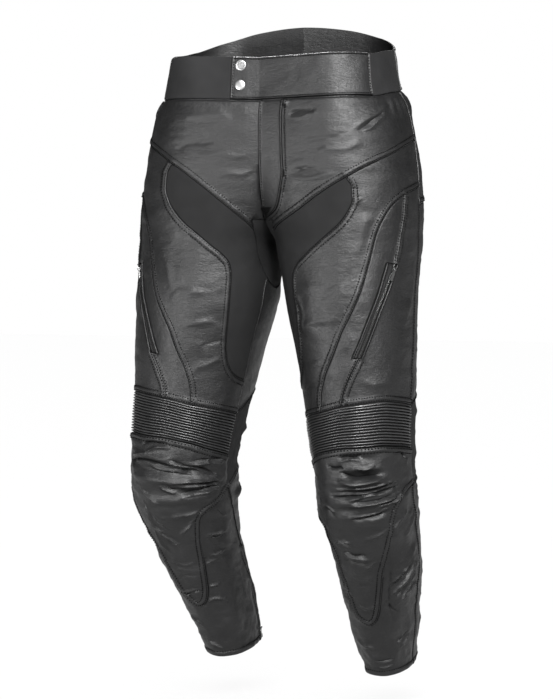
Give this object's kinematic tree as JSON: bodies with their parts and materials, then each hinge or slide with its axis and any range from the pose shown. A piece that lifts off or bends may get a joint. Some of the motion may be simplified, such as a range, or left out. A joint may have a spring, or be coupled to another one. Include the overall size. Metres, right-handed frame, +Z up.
{
  "type": "motorcycle trousers",
  "caption": "Slim motorcycle trousers of leather and stretch cloth with ribbed knees, pre-bent legs, slanted thigh pockets and zipped ankles.",
  "frame": {"origin": "centre of the waist opening at the front waist seam's height, where the wearer's waist holds the trousers up", "axes": "+Z up, -Y out of the front, +X to the wearer's left"},
  "size_m": [0.4633, 0.3025, 1.0575],
  "materials": {
    "leather": "soft satin grain",
    "stretch_cloth": "matt woven",
    "elastic_band": "matt twill",
    "zip_tape": "matt woven tape",
    "silver_metal": "polished",
    "dark_metal": "dark plated"
  },
  "bodies": {
    "trousers": {"ankle_slider_left": "dark_metal", "ankle_slider_right": "dark_metal", "ankle_zip_left": "zip_tape", "ankle_zip_right": "zip_tape", "back_knee_left": "stretch_cloth", "back_knee_right": "stretch_cloth", "back_thigh_left": "leather", "back_thigh_right": "leather", "back_yoke_left": "leather", "back_yoke_right": "leather", "calf_left": "leather", "calf_right": "leather", "crotch_gusset": "stretch_cloth", "fly_left": "leather", "groin_panel_left": "stretch_cloth", "groin_panel_right": "stretch_cloth", "knee_ribs_left": "stretch_cloth", "knee_ribs_right": "stretch_cloth", "lower_front_left": "leather", "lower_front_right": "leather", "pocket_side_left": "leather", "pocket_side_right": "leather", "pocket_slider_left": "dark_metal", "pocket_slider_right": "dark_metal", "pocket_welt_left": "leather", "pocket_welt_right": "leather", "pocket_zip_left": "zip_tape", "pocket_zip_right": "zip_tape", "shin_guard_left": "leather", "shin_guard_right": "leather", "side_panel_left": "leather", "side_panel_right": "leather", "snap_lower": "silver_metal", "snap_upper": "silver_metal", "thigh_front_left": "leather", "thigh_front_right": "leather", "waistband_back_left": "leather", "waistband_back_right": "leather", "waistband_front": "leather", "waistband_stretch_left": "elastic_band", "waistband_stretch_right": "elastic_band", "yoke_front_left": "leather", "yoke_front_right": "leather"},
    "ankle_pull_left": {"ankle_pull_left": "dark_metal"},
    "ankle_pull_right": {"ankle_pull_right": "dark_metal"},
    "pocket_pull_left": {"pocket_pull_left": "dark_metal"},
    "pocket_pull_right": {"pocket_pull_right": "dark_metal"}
  },
  "joints": [
    {"name": "ankle_pull_swing_left", "type": "hinge", "parent": "trousers", "child": "ankle_pull_left", "pos_m": [0.12009, 0.10897, -0.90267], "axis": [0.2711, 0.9109, 0.3111], "range_deg": [0, 140]},
    {"name": "ankle_pull_swing_right", "type": "hinge", "parent": "trousers", "child": "ankle_pull_right", "pos_m": [-0.07057, 0.10334, -0.88706], "axis": [0.1828, -0.9264, -0.3291], "range_deg": [0, 140]},
    {"name": "pocket_pull_swing_left", "type": "hinge", "parent": "trousers", "child": "pocket_pull_left", "pos_m": [0.21144, -0.08863, -0.28063], "axis": [-0.4502, -0.7738, 0.4456], "range_deg": [0, 140]},
    {"name": "pocket_pull_swing_right", "type": "hinge", "parent": "trousers", "child": "pocket_pull_right", "pos_m": [-0.21371, -0.08867, -0.28031], "axis": [-0.5028, 0.7634, -0.4056], "range_deg": [0, 140]}
  ]
}
